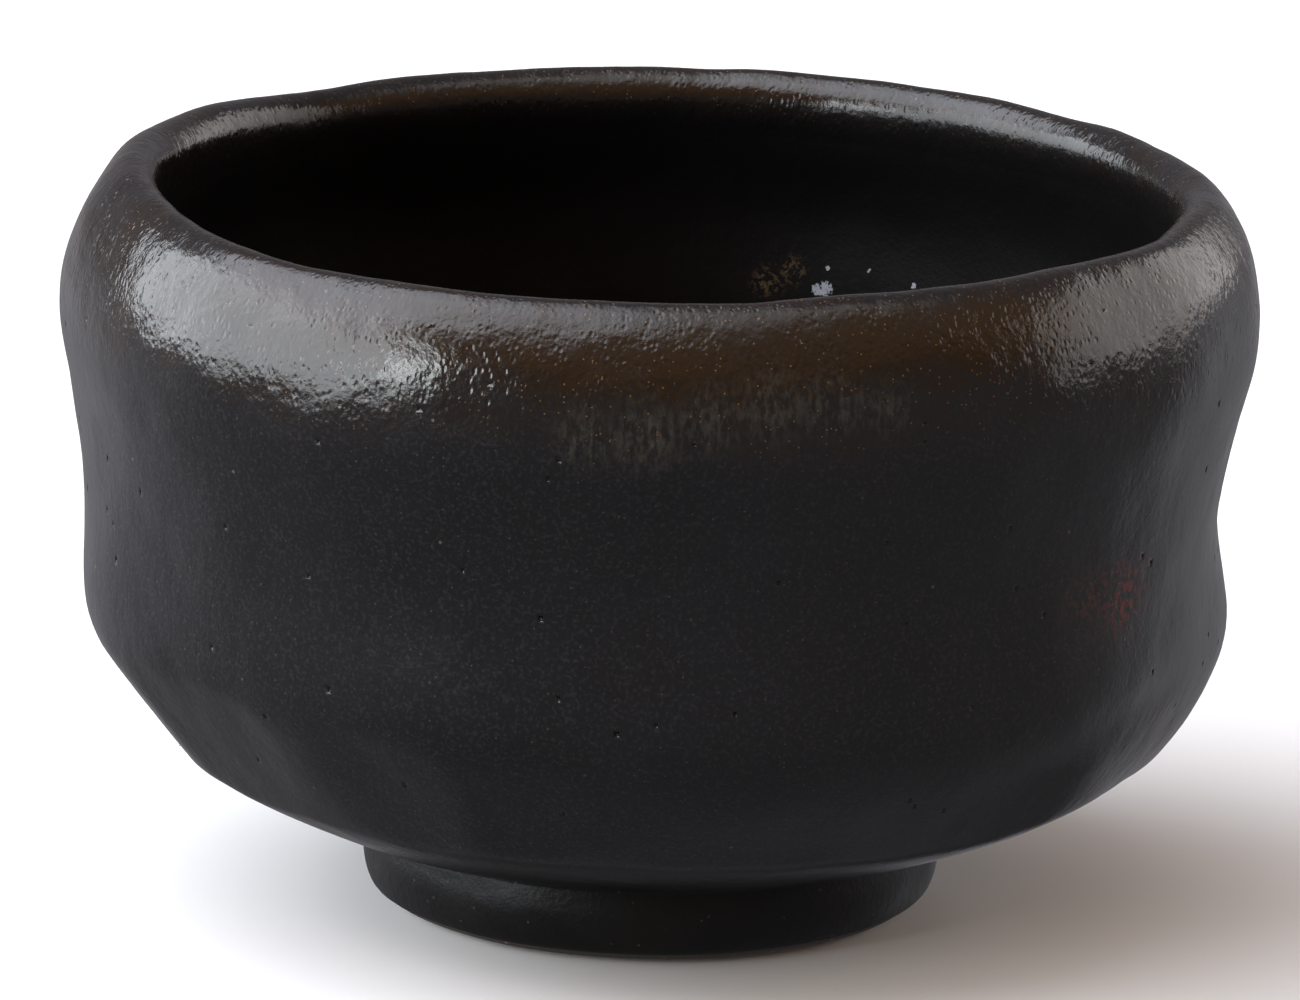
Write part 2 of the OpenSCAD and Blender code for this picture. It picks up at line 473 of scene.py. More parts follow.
def thicken(piece, thickness):
    """Give an open surface a thickness behind it, and close its edges."""
    work_on(piece)
    wall = piece.modifiers.new("thickness", "SOLIDIFY")
    wall.thickness = thickness * MM
    wall.offset = -1.0
    bpy.ops.object.modifier_apply(modifier=wall.name)
    bpy.ops.object.shade_smooth_by_angle(angle=SOFT_EDGE)


# %% [markdown]
# The second coat was poured over the lip only. It hangs down in waves and thins out to nothing
# at its lower edge. It could be painted on as a colour, but then it would have no thickness in
# the light, so its share of thickness and of gloss is worked out at every point of the skin.

# %% Mark where the second coat lies
LIP_COAT = 0.33
LIP_EDGE_Z = 52.5
LIP_EDGE_INSIDE_Z = 68.5
LIP_FADE = 8.0
LIP_FADE_INSIDE = 6.0
GLOSS_ABOVE = 7.0
GLOSS_FADE = 5.0
INSIDE_FADE = 5.0


def lip_edge(at):
    """The height where the second coat ends at a place on the outside, in mm: it hangs in waves."""
    way = Vector((at.x, at.y, 0)).normalized()
    slow = noise.noise(way * 2.2 + Vector((3, 0, 0)))
    quick = noise.noise(way * 9.0)
    return LIP_EDGE_Z + 3.0 * slow + 1.5 * quick


def in_lip_band(face):
    """Whether the second coat covers a face of the skin."""
    level = face.center.z / MM
    return level > (LIP_EDGE_INSIDE_Z if is_inside(face) else lip_edge(face.center))


def eased(share):
    """A share kept from 0 to 1, with soft ends."""
    share = min(1.0, max(0.0, share))
    return share * share * (3 - 2 * share)


second = skin.vertex_groups.new(name="second_coat")
shines = []
depths = []
for vertex in skin.data.vertices:
    level = vertex.co.z / MM
    inward = vertex.co.xy.dot(vertex.normal.xy) < 0
    if inward:
        cover = eased((level - LIP_EDGE_INSIDE_Z) / LIP_FADE_INSIDE)
        shine = cover
    else:
        above = level - lip_edge(vertex.co)
        cover = eased(above / LIP_FADE)
        shine = eased((above - GLOSS_ABOVE) / GLOSS_FADE)
    second.add([vertex.index], cover, "REPLACE")
    shines.append(shine)
    inner = inward or is_floor(vertex.normal, level)
    depths.append(min(1.0, max(0.0, (LIP_Z - level) / INSIDE_FADE)) if inner else 0.0)
gloss = skin.data.attributes.new("gloss", "FLOAT", "POINT")
gloss.data.foreach_set("value", shines)
inside = skin.data.attributes.new("inside", "FLOAT", "POINT")
inside.data.foreach_set("value", depths)
print(sum(shine > 0.5 for shine in shines), "points of the skin are glossy")

# %% Part the outer and inner coats, and lay on the second coat
outer_coat = copy_faces(skin, "outer_coat", lambda face: not is_inside(face))
inner_coat = copy_faces(skin, "inner_coat", is_inside)
lip_coat = copy_faces(skin, "lip_coat", in_lip_band)


def swell(piece, amount, group=""):
    """Move a surface out along its normals, everywhere or by a vertex group."""
    work_on(piece)
    push = piece.modifiers.new("push", "DISPLACE")
    push.strength = amount * MM
    push.mid_level = 0.0
    push.vertex_group = group
    bpy.ops.object.modifier_apply(modifier=push.name)


LIP_BED = 0.03
LIP_WALL = 0.25
swell(lip_coat, -LIP_BED)
swell(lip_coat, LIP_COAT, "second_coat")
thicken(outer_coat, COAT)
thicken(inner_coat, COAT)
thicken(lip_coat, LIP_WALL)
print("coats", COAT, "mm, second coat up to", LIP_COAT, "mm")

# %% [markdown]
# ## Pinholes
# Gas leaves small holes in a glaze. They could be painted or drilled with a boolean, but a drill
# for each is slow and paint has no depth. Here each one is a face that a finger from outside
# would touch, inset and pushed in, but never down to the clay. The large ones are placed, and
# the dice scatter the small ones.

# %% A helper that pricks pinholes
PIN_TAPER = 0.05


def prick(piece, places, width, depth):
    """A pinhole at each place, a direction and a height. Width is the rim of the face left."""
    numbers = {touch(piece, direction, height)[1] for direction, height in places}
    select_in_edit(piece, "FACE", [face.index in numbers for face in piece.data.polygons])
    bpy.ops.mesh.inset(thickness=width * MM, depth=0, use_individual=True)
    bpy.ops.mesh.inset(thickness=PIN_TAPER * MM, depth=-depth * MM, use_individual=True)
    bpy.ops.object.mode_set(mode="OBJECT")


# %% Prick the pinholes
LARGE = {"width": 0.2, "depth": 0.36}
SMALL = {"width": 0.3, "depth": 0.22}
FAINT = {"width": 0.3, "depth": 0.2}
placed_low = [(203, 40), (237, 34), (243, 24), (227, 29), (267, 33), (240, 16), (259, 44)]
placed_high = [(261, 60)]
scattered_low = [(dice.uniform(0, 360), dice.uniform(17, 52)) for _ in range(90)]
scattered_high = [(dice.uniform(0, 360), dice.uniform(58, 72)) for _ in range(60)]
prick(outer_coat, placed_low, **LARGE)
prick(lip_coat, placed_high, **LARGE)
prick(outer_coat, scattered_low, **SMALL)
prick(lip_coat, scattered_high, **FAINT)
print(len(placed_low + placed_high + scattered_low + scattered_high), "pinholes")

# %% [markdown]
# ## The clay under the coats
# The clay can't be seen, but it has to lie just under the coats, so it is the skin once more,
# drawn in by the coat's thickness. Its flat base is closed by pulling the lowest ring in to the
# middle.

# %% Make the clay wall
CLAY_PLAY = 0.01


def select_open_edges(piece):
    """Select the edges of a piece's openings, and stay in edit mode."""
    work_on(piece)
    bpy.ops.object.mode_set(mode="EDIT")
    bpy.ops.mesh.select_mode(type="EDGE")
    bpy.ops.mesh.select_all(action="DESELECT")
    bpy.ops.mesh.select_non_manifold()


clay_wall = copy_faces(skin, "clay_wall", lambda face: True)
swell(clay_wall, CLAY_PLAY - COAT)
select_open_edges(clay_wall)
close_end(clay_wall)
bpy.ops.object.shade_smooth_by_angle(angle=SOFT_EDGE)
bpy.data.objects.remove(skin)
print(f"the clay wall has {len(clay_wall.data.polygons)} faces")

# %% [markdown]
# ## The foot
# The foot ring is taken to be rolled, set on with slip and trimmed by eye, though on many bowls it
# is carved from the base. Its clay shows only underneath, where the glaze was wiped off. The two
# coats and the ring are raised like the wall. The ring and its outer coat are pressed alike, so
# that they still fit.

# %% Name the foot's points
FOOT_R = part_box("foot_ring")[1].x / MM
BARE_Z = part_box("recess_glaze")[0].z / MM
RECESS_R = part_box("recess_glaze")[1].x / MM
CONTACT_R = 24.7
CONTACT_IN_R = 20.7
FOOT_SIDES = 2 * SIDES

FOOT_LINE = [
    (CONTACT_R, 0.0),
    (FOOT_R - 2.2, 0.5),
    (FOOT_R - 0.9, 1.4),
    (FOOT_R - 0.1, 3.6),
    (FOOT_R, 6.0),
    (FOOT_R - 0.8, BASE_Z - 0.4),
]
RING_LINE = smooth_line(FOOT_LINE, 3) + [
    Vector((RECESS_R, BASE_Z - 0.4)),
    Vector((RECESS_R, 4.5)),
    Vector((RECESS_R, 0.9)),
    Vector((CONTACT_IN_R, 0.0)),
]
FOOT_COAT_LINE = [
    (FOOT_R - 0.95, BARE_Z + 0.1),
    (FOOT_R - 0.35, BARE_Z + 0.5),
    (FOOT_R + 0.2, 3.2),
    (FOOT_R + 0.45, 5.4),
    (FOOT_R + 0.2, 7.4),
    (FOOT_R + 0.1, 8.2),
    (FOOT_R + 0.6, 9.1),
]
RECESS_LINE = [
    (RECESS_R - 0.2, BARE_Z + 0.1),
    (RECESS_R - 0.45, 2.4),
    (RECESS_R - 0.45, 6.8),
    (RECESS_R - 1.0, 8.2),
    (RECESS_R - 2.2, 8.7),
    (12.0, 8.8),
    (4.0, 8.9),
    (0.8, 8.9),
]
print("foot ring radius", round(FOOT_R, 2), "bare up to", round(BARE_Z, 2))

# %% Raise the foot's coats and its ring
foot_coat = raise_wall("foot_coat", smooth_line(FOOT_COAT_LINE, 4), FOOT_SIDES)
recess_coat = raise_wall("recess_coat", smooth_line(RECESS_LINE, 3), FOOT_SIDES)
close_end(recess_coat)
foot_clay = raise_wall("foot_clay", RING_LINE, FOOT_SIDES)
select_open_edges(foot_clay)
bpy.ops.mesh.bridge_edge_loops()
leave_all()
print("the ring has", len(foot_clay.data.polygons), "faces")

# %% Press the foot a little out of round
FOOT_PRESSES = [
    (180, 5, 14, -0.35, 0.0),
    (0, 5, 14, 0.2, 0.0),
    (300, 6, 10, -0.25, 0.0),
    (240, 3, 9, 0.2, 0.0),
    (120, 5, 12, -0.2, 0.0),
]
for piece in (foot_coat, foot_clay):
    for mark in FOOT_PRESSES:
        press(piece, *mark, radius=FOOT_R)
for piece in (foot_coat, recess_coat, foot_clay):
    face_out(piece)
print("foot pressed")

# %% Turn the foot's open coats the right way, and thicken them
FOOT_COAT = 0.4


def look(piece, face, way):
    """Flip an open surface if this face of it looks against a direction."""
    if face.normal.dot(way) < 0:
        work_on(piece)
        bpy.ops.object.mode_set(mode="EDIT")
        bpy.ops.mesh.select_all(action="SELECT")
        bpy.ops.mesh.flip_normals()
        bpy.ops.object.mode_set(mode="OBJECT")


rightmost = max(foot_coat.data.polygons, key=lambda face: face.center.x)
look(foot_coat, rightmost, Vector((1, 0, 0)))
middle = min(recess_coat.data.polygons, key=lambda face: face.center.xy.length)
look(recess_coat, middle, Vector((0, 0, -1)))
for piece in (foot_coat, recess_coat):
    thicken(piece, FOOT_COAT)
work_on(foot_clay)
bpy.ops.object.shade_smooth_by_angle(angle=SOFT_EDGE)
print("foot coats", FOOT_COAT, "mm thick")

# %% [markdown]
# ## Taking the places of the plain solids
# Each finished piece rides on the bowl and hides the plain solid that it stands for. Only the
# thin ring of slip between the foot and the bowl keeps its plain solid.

# %% Tie the pieces to the frame


def finish_piece(piece, *nodes, slot):
    """Clear the piece's vertex groups and tie it to the frame."""
    piece.vertex_groups.clear()
    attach(piece, "root")
    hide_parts(*nodes)
    print(piece.name, len(piece.data.polygons), "faces")


finish_piece(clay_wall, "clay_body", slot="bare_clay")
finish_piece(outer_coat, "outer_glaze", slot="outer_glaze")
finish_piece(inner_coat, "inner_glaze", slot="inner_glaze")
finish_piece(lip_coat, "lip_glaze", slot="lip_glaze")
finish_piece(foot_coat, "foot_glaze", slot="foot_glaze")
finish_piece(recess_coat, "recess_glaze", slot="foot_glaze")
finish_piece(foot_clay, "foot_ring", slot="bare_clay")

# %% [markdown]
# ## Finishes
# Image textures would need a layout for each coat. Noise in Object coordinates needs none: it
# stays put on the bowl from every side and runs on from one coat to the next. A small class
# keeps the node work short.

# %% Helpers for node materials


class Finish:
    """A Principled material and short ways to add nodes to it."""

    def __init__(self, name):
        self.material = bpy.data.materials.new(name)
        self.material.use_nodes = True
        self.tree = self.material.node_tree
        self.shader = self.tree.nodes["Principled BSDF"]
        self.place = self.add("ShaderNodeTexCoord").outputs["Object"]

    def add(self, kind):
        return self.tree.nodes.new(kind)

    def join(self, source, target):
        self.tree.links.new(source, target)

    def use(self, source, name):
        """Join a pattern to the shader's input of this name."""
        self.join(source, self.shader.inputs[name])

    def stretched(self, x, y, z):
        """Object coordinates stretched along the axes."""
        mapping = self.add("ShaderNodeMapping")
        mapping.inputs["Scale"].default_value = (x, y, z)
        self.join(self.place, mapping.inputs["Vector"])
        return mapping.outputs["Vector"]

    def noise(self, size, detail=3.0, rough=0.5, place=None):
        """A noise from 0 to 1 with features about this many millimetres across."""
        node = self.add("ShaderNodeTexNoise")
        node.inputs["Scale"].default_value = 1 / (size * MM)
        node.inputs["Detail"].default_value = detail
        node.inputs["Roughness"].default_value = rough
        self.join(place or self.place, node.inputs["Vector"])
        return node.outputs["Fac"]

    def cells(self, size, place=None):
        """A Voronoi pattern with cells about this many millimetres across."""
        node = self.add("ShaderNodeTexVoronoi")
        node.inputs["Scale"].default_value = 1 / (size * MM)
        self.join(place or self.place, node.inputs["Vector"])
        return node

    def spread(self, value, low, high, to_low=0.0, to_high=1.0):
        """Map a range smoothly on to another."""
        node = self.add("ShaderNodeMapRange")
        node.interpolation_type = "SMOOTHSTEP"
        node.inputs["From Min"].default_value = low
        node.inputs["From Max"].default_value = high
        node.inputs["To Min"].default_value = to_low
        node.inputs["To Max"].default_value = to_high
        self.join(value, node.inputs["Value"])
        return node.outputs["Result"]

    def times(self, first, second, operation="MULTIPLY"):
        """Two numbers multiplied, or taken together in another way."""
        node = self.add("ShaderNodeMath")
        node.operation = operation
        for socket, value in zip(node.inputs, (first, second)):
            if isinstance(value, (int, float)):
                socket.default_value = value
            else:
                self.join(value, socket)
        return node.outputs["Value"]

    def blend(self, share, under, over):
        """One colour over another where share is 1."""
        node = self.add("ShaderNodeMix")
        node.data_type = "RGBA"
        self.join(share, node.inputs["Factor"])
        for socket, value in ((node.inputs[6], under), (node.inputs[7], over)):
            if isinstance(value, tuple):
                socket.default_value = (*value, 1.0)
            else:
                self.join(value, socket)
        return node.outputs[2]

    def bump(self, height, depth, under=None):
        """Raise the surface by a pattern this many millimetres deep."""
        node = self.add("ShaderNodeBump")
        node.inputs["Strength"].default_value = 1.0
        node.inputs["Distance"].default_value = depth * MM
        self.join(height, node.inputs["Height"])
        if under:
            self.join(under, node.inputs["Normal"])
        return node.outputs["Normal"]

    def reading(self, attribute):
        """A number stored on the piece's points."""
        node = self.add("ShaderNodeAttribute")
        node.attribute_name = attribute
        return node.outputs["Fac"]

    def near(self, centre, reach):
        """1 at a point on the bowl, falling to 0 at a distance, all in millimetres."""
        node = self.add("ShaderNodeVectorMath")
        node.operation = "DISTANCE"
        node.inputs[1].default_value = [value * MM for value in centre]
        self.join(self.place, node.inputs[0])
        return self.spread(node.outputs["Value"], 0.0, reach * MM, 1.0, 0.0)


# %% [markdown]
# The glaze is black, but never one black: bluer on the body, brown with iron where the second
# coat lies, and darker still inside the bowl, where the darkening is painted shade. A painted
# sheen in grey streaks lies along the second coat's lower edge at the front. Fine specks of gold,
# grey and green are crystals that grew as it cooled. Its skin is like orange peel, with pin-sized
# pits where it is glossy.

# %% The colours of the glaze
BLACK = (0.0045, 0.0043, 0.0049)
BLUE_BLACK = (0.0065, 0.0063, 0.0074)
BROWN_BLACK = (0.0070, 0.0056, 0.0046)
GRAIN = (0.0170, 0.0160, 0.0180)
# A grey painted sheen: light caught on the ragged lower edge of the second coat.
PAINTED_SHEEN = (0.043, 0.040, 0.032)
GOLD = (0.1300, 0.0750, 0.0330)
FRECKLE = (0.045, 0.042, 0.034)
RED = (0.125, 0.013, 0.011)
RUST = (0.050, 0.015, 0.011)
CRUMB = (0.075, 0.050, 0.026)
IRON = (0.0110, 0.0062, 0.0036)
# The black deepened inside the bowl: a painted shade.
PAINTED_INSIDE_SHADE = (0.0030, 0.0026, 0.0027)
PALE_SPOT = (0.30, 0.33, 0.38)
MOSS = (0.14, 0.125, 0.09)

# %% Helpers for specks and for the glaze's skin


def freckles(finish, colour, size, share, tint):
    """Fine specks of one tint: only the middles of a few cells."""
    cells = finish.cells(size)
    dot = finish.spread(cells.outputs["Distance"], 0.14, 0.26, 1.0, 0.0)
    chosen = finish.add("ShaderNodeSeparateColor")
    finish.join(cells.outputs["Color"], chosen.inputs[0])
    few = finish.spread(chosen.outputs[0], 1.0 - share, 1.02 - share)
    return finish.blend(finish.times(dot, few), colour, tint)


def orange_peel(finish, gloss):
    """The glaze's fine skin: soft waves, pin-sized pits where it is glossy, and faint runs."""
    waves = finish.bump(finish.noise(1.5, 4.0, 0.6), 0.05)
    runs = finish.noise(1.2, 2.0, 0.5, finish.stretched(1.0, 1.0, 0.45))
    runs = finish.bump(runs, 0.035, waves)
    pores = finish.cells(0.65, finish.stretched(1.0, 1.0, 0.6))
    pits = finish.spread(pores.outputs["Distance"], 0.05, 0.5)
    grow = finish.spread(finish.noise(3.0), 0.35, 0.65, 0.15, 1.0)
    pits = finish.times(pits, grow)
    pitted = finish.bump(finish.times(pits, gloss), 0.044, runs)
    return finish.bump(finish.noise(0.45, 3.0, 0.6), 0.028, pitted)


# %% Places on the bowl, in millimetres, with their reach and their colour
# Where the painted sheen lies along the second coat's lower edge, at the front, with its reach.
PAINTED_SHEEN_PLACES = (
    ((11, -59.5, 66), 5.5),
    ((17, -58.1, 66), 5),
    ((22, -56.5, 65), 4),
    ((5, -60.3, 64.5), 5),
    ((-1, -60.9, 63), 5.5),
    ((-7, -60.4, 62.5), 4.5),
)
BLOTCHES = (((42.4, -40.4, 42.8), 5.5, RUST), ((46.6, -35.4, 41.8), 6.0, RED))
CRUMBS = (((11.7, 51.5, 53.4), 2.6), ((14.4, 50.9, 54.8), 2.4))
SPOTS = (
    ((17.9, 49.7, 53.1), 1.5),
    ((18.1, 50.0, 55.4), 0.5),
    ((22.6, 48.2, 55.6), 0.42),
    ((27.4, 45.5, 54.6), 0.6),
    ((17.0, 50.0, 53.0), 1.1),
)
print(len(PAINTED_SHEEN_PLACES) + len(BLOTCHES) + len(CRUMBS) + len(SPOTS), "placed marks in the glaze")

# %% The glaze's ground colour, and the marks on it


def ground_colour(finish, second_coat):
    """Blue-black with a fine grain, and brown with iron where the second coat lies."""
    colour = finish.blend(finish.spread(finish.noise(26.0), 0.35, 0.65), BLACK, BLUE_BLACK)
    brown = finish.spread(finish.noise(9.0, 5.0), 0.45, 0.8)
    colour = finish.blend(finish.times(brown, 0.3), colour, BROWN_BLACK)
    grain = finish.spread(finish.noise(0.4, 2.0, 0.6), 0.47, 0.72)
    colour = finish.blend(grain, colour, GRAIN)
    iron = finish.spread(finish.noise(7.0, 6.0, 0.6), 0.36, 0.62, 0.35, 1.0)
    return finish.blend(finish.times(second_coat, iron), colour, IRON)


def outside_marks(finish, colour, second_coat):
    """A painted sheen in grey streaks along the second coat's lower edge, the dark red dashes, and
    specks all over.
    """
    streaks = finish.noise(0.6, 4.0, 0.65, finish.stretched(1.0, 1.0, 0.4))
    streaks = finish.spread(streaks, 0.40, 0.68)
    # Paint a grey sheen in streaks along the lower edge of the second coat.
    for place, size in PAINTED_SHEEN_PLACES:
        share = finish.times(finish.near(place, size), streaks)
        colour = finish.blend(share, colour, PAINTED_SHEEN)
    dashes = finish.spread(finish.noise(0.7, 3.0, 0.6), 0.47, 0.60)
    for place, size, tint in BLOTCHES:
        share = finish.times(dashes, finish.near(place, size))
        colour = finish.blend(share, colour, tint)
    gold = freckles(finish, colour, 0.45, 0.2, GOLD)
    colour = finish.blend(second_coat, colour, gold)
    colour = freckles(finish, colour, 0.5, 0.08, FRECKLE)
    return freckles(finish, colour, 0.9, 0.012, MOSS)


def inside_marks(finish, colour):
    """A rough gold crumb and pale spots on the inside."""
    crumbs = finish.spread(finish.noise(0.6, 3.0, 0.6), 0.5, 0.6)
    for place, size in CRUMBS:
        share = finish.times(crumbs, finish.near(place, size))
        colour = finish.blend(share, colour, CRUMB)
    ragged = finish.spread(finish.noise(0.4, 3.0, 0.6), 0.4, 0.6, 0.4, 1.0)
    for place, size in SPOTS:
        share = finish.times(finish.near(place, size), ragged)
        colour = finish.blend(finish.spread(share, 0.25, 0.45), colour, PALE_SPOT)
    return colour


# %% The black glaze's shine, and the whole finish


def uneven_shine(finish, second_coat, inside):
    """Satin outside, glossier where the second coat lies, and never glossy inside."""
    satin = finish.spread(finish.noise(14.0), 0.3, 0.7, 0.20, 0.27)
    shine = finish.spread(finish.noise(6.0, 4.0), 0.3, 0.7, 0.13, 0.20)
    smooth = finish.add("ShaderNodeMix")
    finish.join(second_coat, smooth.inputs[0])
    finish.join(satin, smooth.inputs[2])
    finish.join(shine, smooth.inputs[3])
    return finish.times(smooth.outputs[0], finish.times(inside, 0.5), "MAXIMUM")


def black_finish(name):
    """Black glaze. The points' gloss says where the second coat is, and inside where it is dull and
    painted darker as shade.
    """
    finish = Finish(name)
    second_coat = finish.reading("gloss")
    inside = finish.reading("inside")
    colour = ground_colour(finish, second_coat)
    colour = outside_marks(finish, colour, second_coat)
    # Below the lip, inside the bowl, the colour goes darker as painted shade.
    colour = finish.blend(inside, colour, PAINTED_INSIDE_SHADE)
    colour = inside_marks(finish, colour)
    finish.use(colour, "Base Color")
    finish.use(uneven_shine(finish, second_coat, inside), "Roughness")
    finish.use(finish.spread(inside, 0.0, 1.0, 0.5, 0.10), "Specular IOR Level")
    finish.use(orange_peel(finish, second_coat), "Normal")
    return finish.material


def paint(material, *pieces):
    """Give pieces one material in place of what they had."""
    for piece in pieces:
        piece.data.materials.clear()
        piece.data.materials.append(material)
        print(piece.name, "in", material.name)


paint(black_finish("black_glaze"), outer_coat, lip_coat, inner_coat)

# %% [markdown]
# The foot's coat is thin and duller, because it was wiped and stood near the kiln floor. Bare
# clay is coarse and dark. It shows only on the contact face, but the clay under the coats gets
# the same finish, and so does the slip.

# %% The foot's thin coat, and the bare clay
CLAY_DARK = (0.030, 0.023, 0.019)
CLAY_LIGHT = (0.065, 0.050, 0.040)
GRIT = (0.16, 0.14, 0.11)


def foot_finish(name):
    """Thin satin black, between black and brown."""
    finish = Finish(name)
    colour = finish.blend(finish.spread(finish.noise(9.0, 4.0), 0.3, 0.7), BLACK, BROWN_BLACK)
    colour = freckles(finish, colour, 0.7, 0.08, FRECKLE)
    finish.use(colour, "Base Color")
    satin = finish.spread(finish.noise(7.0), 0.3, 0.7, 0.36, 0.5)
    finish.use(satin, "Roughness")
    finish.shader.inputs["Specular IOR Level"].default_value = 0.2
    finish.use(finish.bump(finish.noise(1.2, 5.0, 0.65), 0.1), "Normal")
    return finish.material


def clay_finish(name):
    """Coarse dark clay with pale grit."""
    finish = Finish(name)
    colour = finish.blend(finish.noise(3.0, 6.0, 0.6), CLAY_DARK, CLAY_LIGHT)
    colour = freckles(finish, colour, 1.0, 0.2, GRIT)
    finish.use(colour, "Base Color")
    finish.shader.inputs["Roughness"].default_value = 0.85
    finish.use(finish.bump(finish.noise(0.8, 5.0, 0.7), 0.15), "Normal")
    return finish.material


paint(foot_finish("foot_glaze"), foot_coat, recess_coat)
paint(clay_finish("bare_clay"), foot_clay, clay_wall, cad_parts["luting_slip"])

# %% [markdown]
# ## Floor and light
# The floor is plain and pale. It is kept out of the bowl's reflections, because a white floor
# would grey the whole underside.

# %% The floor
leave_all()
bpy.ops.mesh.primitive_plane_add(size=30.0, location=(0, 0, 0))
floor = bpy.context.object
floor.name = "floor"
floor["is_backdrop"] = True
floor_paint = bpy.data.materials.new("floor")
floor_paint.use_nodes = True
floor_shader = floor_paint.node_tree.nodes["Principled BSDF"]
floor_shader.inputs["Base Color"].default_value = (0.82, 0.82, 0.82, 1)
floor_shader.inputs["Roughness"].default_value = 0.9
floor.data.materials.append(floor_paint)
floor.visible_glossy = False
floor.visible_diffuse = False
print("floor laid")

# %% [markdown]
# A black glossy bowl shows what is round it more than its own colour, so the light is made of
# windows that can be seen in the glaze: a large cool one on the left, a small bright gap beside
# it that gives the glint, and a weaker warm one on the right, towards the back.

# %% The windows
BOWL_MIDDLE = Vector((0, 0, 50 * MM))


def window(name, direction, height_angle, distance, width, height, radiance, colour):
    """A soft area light that looks at the bowl. The direction is counted from the front."""
    round_it = math.radians(direction)
    up = math.radians(height_angle)
    level = Vector((math.sin(round_it), -math.cos(round_it), 0)) * math.cos(up)
    way = level + Vector((0, 0, math.sin(up)))
    data = bpy.data.lights.new(name, "AREA")
    data.shape = "RECTANGLE"
    data.size = width
    data.size_y = height
    data.energy = radiance * math.pi * width * height
    data.color = colour
    lamp = bpy.data.objects.new(name, data)
    bpy.context.scene.collection.objects.link(lamp)
    lamp.location = way * distance + BOWL_MIDDLE
    lamp.rotation_euler = way.to_track_quat("Z", "Y").to_euler()
    print(name, round(data.energy, 1), "W")


window("left_window", -86, 17, 1.2, 1.75, 0.75, 5.6, (0.90, 0.95, 1.0))
window("glint", -47, 14, 1.2, 0.18, 0.34, 13.5, (0.92, 0.98, 1.0))
window("right_window", 113, 20, 1.3, 1.6, 0.78, 1.7, (1.0, 0.94, 0.90))

# %% [markdown]
# The rest of the room is in the world: a colour for each height, with pale parts added on top.
# A panorama picture would do it too, but this keeps the room plain and each part of it can be
# moved by a number. Only the camera sees a plain pale background instead.

# %% Helpers for the room's nodes
world = bpy.data.worlds.new("room")
bpy.context.scene.world = world
world.use_nodes = True
tree = world.node_tree
background = tree.nodes["Background"]


def room_node(kind, *inputs, operation=None):
    """A node in the world, with its first inputs given as numbers or as other nodes' outputs."""
    node = tree.nodes.new(kind)
    if operation:
        node.operation = operation
    for socket, value in zip(node.inputs, inputs):
        if isinstance(value, (int, float)):
            socket.default_value = value
        else:
            tree.links.new(value, socket)
    return node


def rise(value, low, high):
    """From 0 to 1 between two values, or from 1 to 0 if the first is the larger."""
    node = room_node("ShaderNodeMapRange", value, float(low), float(high))
    node.interpolation_type = "SMOOTHSTEP"
    return node.outputs[0]


def plus(first, second):
    return room_node("ShaderNodeMath", first, second, operation="ADD").outputs[0]


def minus(first, second):
    return room_node("ShaderNodeMath", first, second, operation="SUBTRACT").outputs[0]


def times(first, *others):
    """Numbers multiplied together."""
    for other in others:
        first = room_node("ShaderNodeMath", first, other, operation="MULTIPLY").outputs[0]
    return first


def mix_colours(share, under, over):
    """One colour over another. The second may be a plain colour."""
    node = tree.nodes.new("ShaderNodeMix")
    node.data_type = "RGBA"
    tree.links.new(share, node.inputs["Factor"])
    tree.links.new(under, node.inputs[6])
    node.inputs[7].default_value = (*over, 1.0)
    return node.outputs[2]


# %% A colour for each height of the room, from straight down at -1 to overhead at 1
HEIGHTS = [
    (-1.0, (0.20, 0.195, 0.21)),
    (-0.3, (0.26, 0.25, 0.265)),
    (-0.05, (0.24, 0.23, 0.24)),
    (0.10, (0.27, 0.26, 0.26)),
    (0.22, (0.24, 0.20, 0.17)),
    (0.34, (0.34, 0.19, 0.10)),
    (0.58, (0.52, 0.29, 0.14)),
    (0.83, (0.52, 0.36, 0.24)),
    (0.94, (1.30, 1.22, 1.20)),
    (1.0, (1.35, 1.32, 1.32)),
]
directions = tree.nodes.new("ShaderNodeTexCoord").outputs["Generated"]
x, y, z = room_node("ShaderNodeSeparateXYZ", directions).outputs
ramp = room_node("ShaderNodeValToRGB", room_node("ShaderNodeMapRange", z, -1.0, 1.0).outputs[0])
stops = ramp.color_ramp.elements
for level, colour in HEIGHTS[1:-1]:
    stops.new((level + 1) / 2)
for stop, (level, colour) in zip(stops, HEIGHTS):
    stop.position = (level + 1) / 2
    stop.color = (*colour, 1.0)
print(len(stops), "heights")

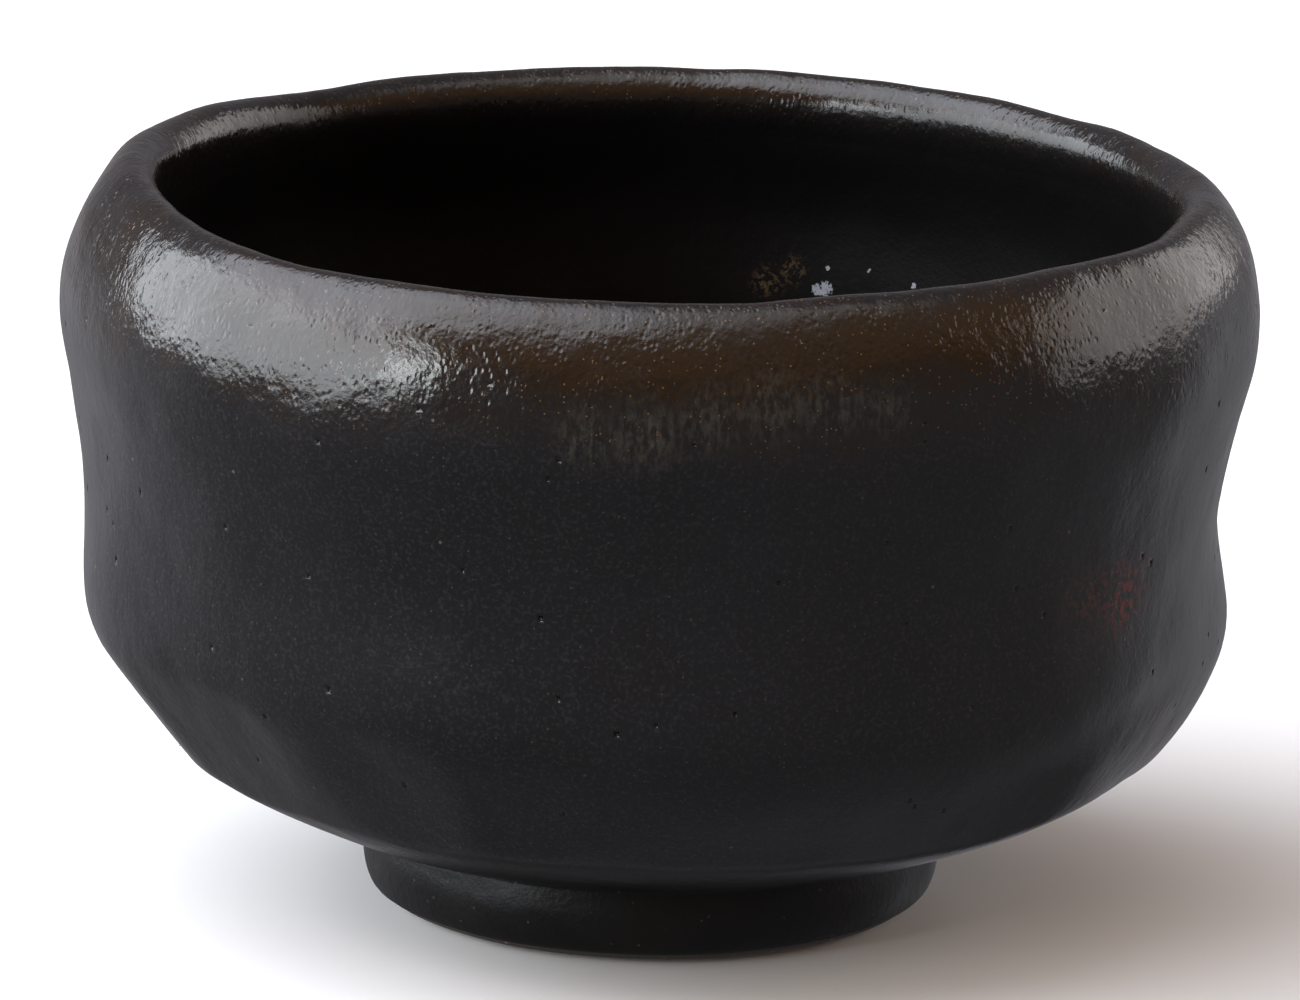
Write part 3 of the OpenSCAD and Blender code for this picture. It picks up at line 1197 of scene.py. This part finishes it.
# %% The grey wall at the back, and the dark under the far side
BACK_WALL = (0.22, 0.215, 0.235)
UNDER_DIM = 0.7
at_back = times(rise(y, -0.1, 0.3), rise(z, -0.12, 0.1))
walls = mix_colours(at_back, ramp.outputs[0], BACK_WALL)
under = times(rise(y, 0.25, 0.6), rise(z, -0.42, -0.6), rise(x, -0.5, -0.1))
dimmed = room_node("ShaderNodeVectorMath", walls, operation="SCALE")
tree.links.new(minus(1.0, times(under, UNDER_DIM)), dimmed.inputs["Scale"])
print("back wall", BACK_WALL)

# %% The pale parts: low at the back on the left, at the back on the right, and the ceiling
LEFT_PALE = 0.17
BACK_PALE = 0.05
RIGHT_PALE = 0.2
CEILING_PALE = 1.6
CEILING_FALL = 4.0
PALE_TINT = (0.92, 0.96, 1.06)
behind = rise(minus(y, times(x, 0.153)), 0.2, 0.45)
low_band = times(rise(z, 0.05, -0.18), rise(z, -0.62, -0.3))
left = times(plus(times(rise(x, -0.1, -0.5), LEFT_PALE), BACK_PALE), low_band)
right = times(rise(x, 0.52, 0.68), rise(z, 0.25, 0.1), RIGHT_PALE)
ceiling = times(rise(x, 0.15, -0.2), rise(minus(z, times(x, 0.4)), 0.83, 0.92), rise(y, 0.65, 0.4))
ceiling = times(ceiling, minus(CEILING_PALE, times(x, CEILING_FALL)))
pale = plus(times(plus(left, right), behind), ceiling)
tinted = room_node("ShaderNodeCombineXYZ", *(times(pale, tint) for tint in PALE_TINT))
print(len(tree.nodes), "nodes in the room so far")

# %% What the bowl sees, and what the camera sees
SEEN_BY_CAMERA = (0.88, 0.88, 0.88)
room = room_node("ShaderNodeVectorMath", dimmed.outputs[0], tinted.outputs[0], operation="ADD")
is_camera = tree.nodes.new("ShaderNodeLightPath").outputs["Is Camera Ray"]
seen = mix_colours(is_camera, room.outputs[0], SEEN_BY_CAMERA)
tree.links.new(seen, background.inputs["Color"])
background.inputs["Strength"].default_value = 1.0
bpy.context.scene.view_settings.view_transform = "Standard"
print("lit")

# %% [markdown]
# ## Last measurements
# The looks must not change the bowl's size, so both boxes are printed side by side.

# %% Print the sizes and finish
look_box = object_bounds()
sizes = {
    "cad": [list(corner) for corner in cad_box],
    "looks": [list(corner) for corner in look_box],
}
for name, corners in sizes.items():
    print(name, [[round(value / MM, 2) for value in corner] for corner in corners])
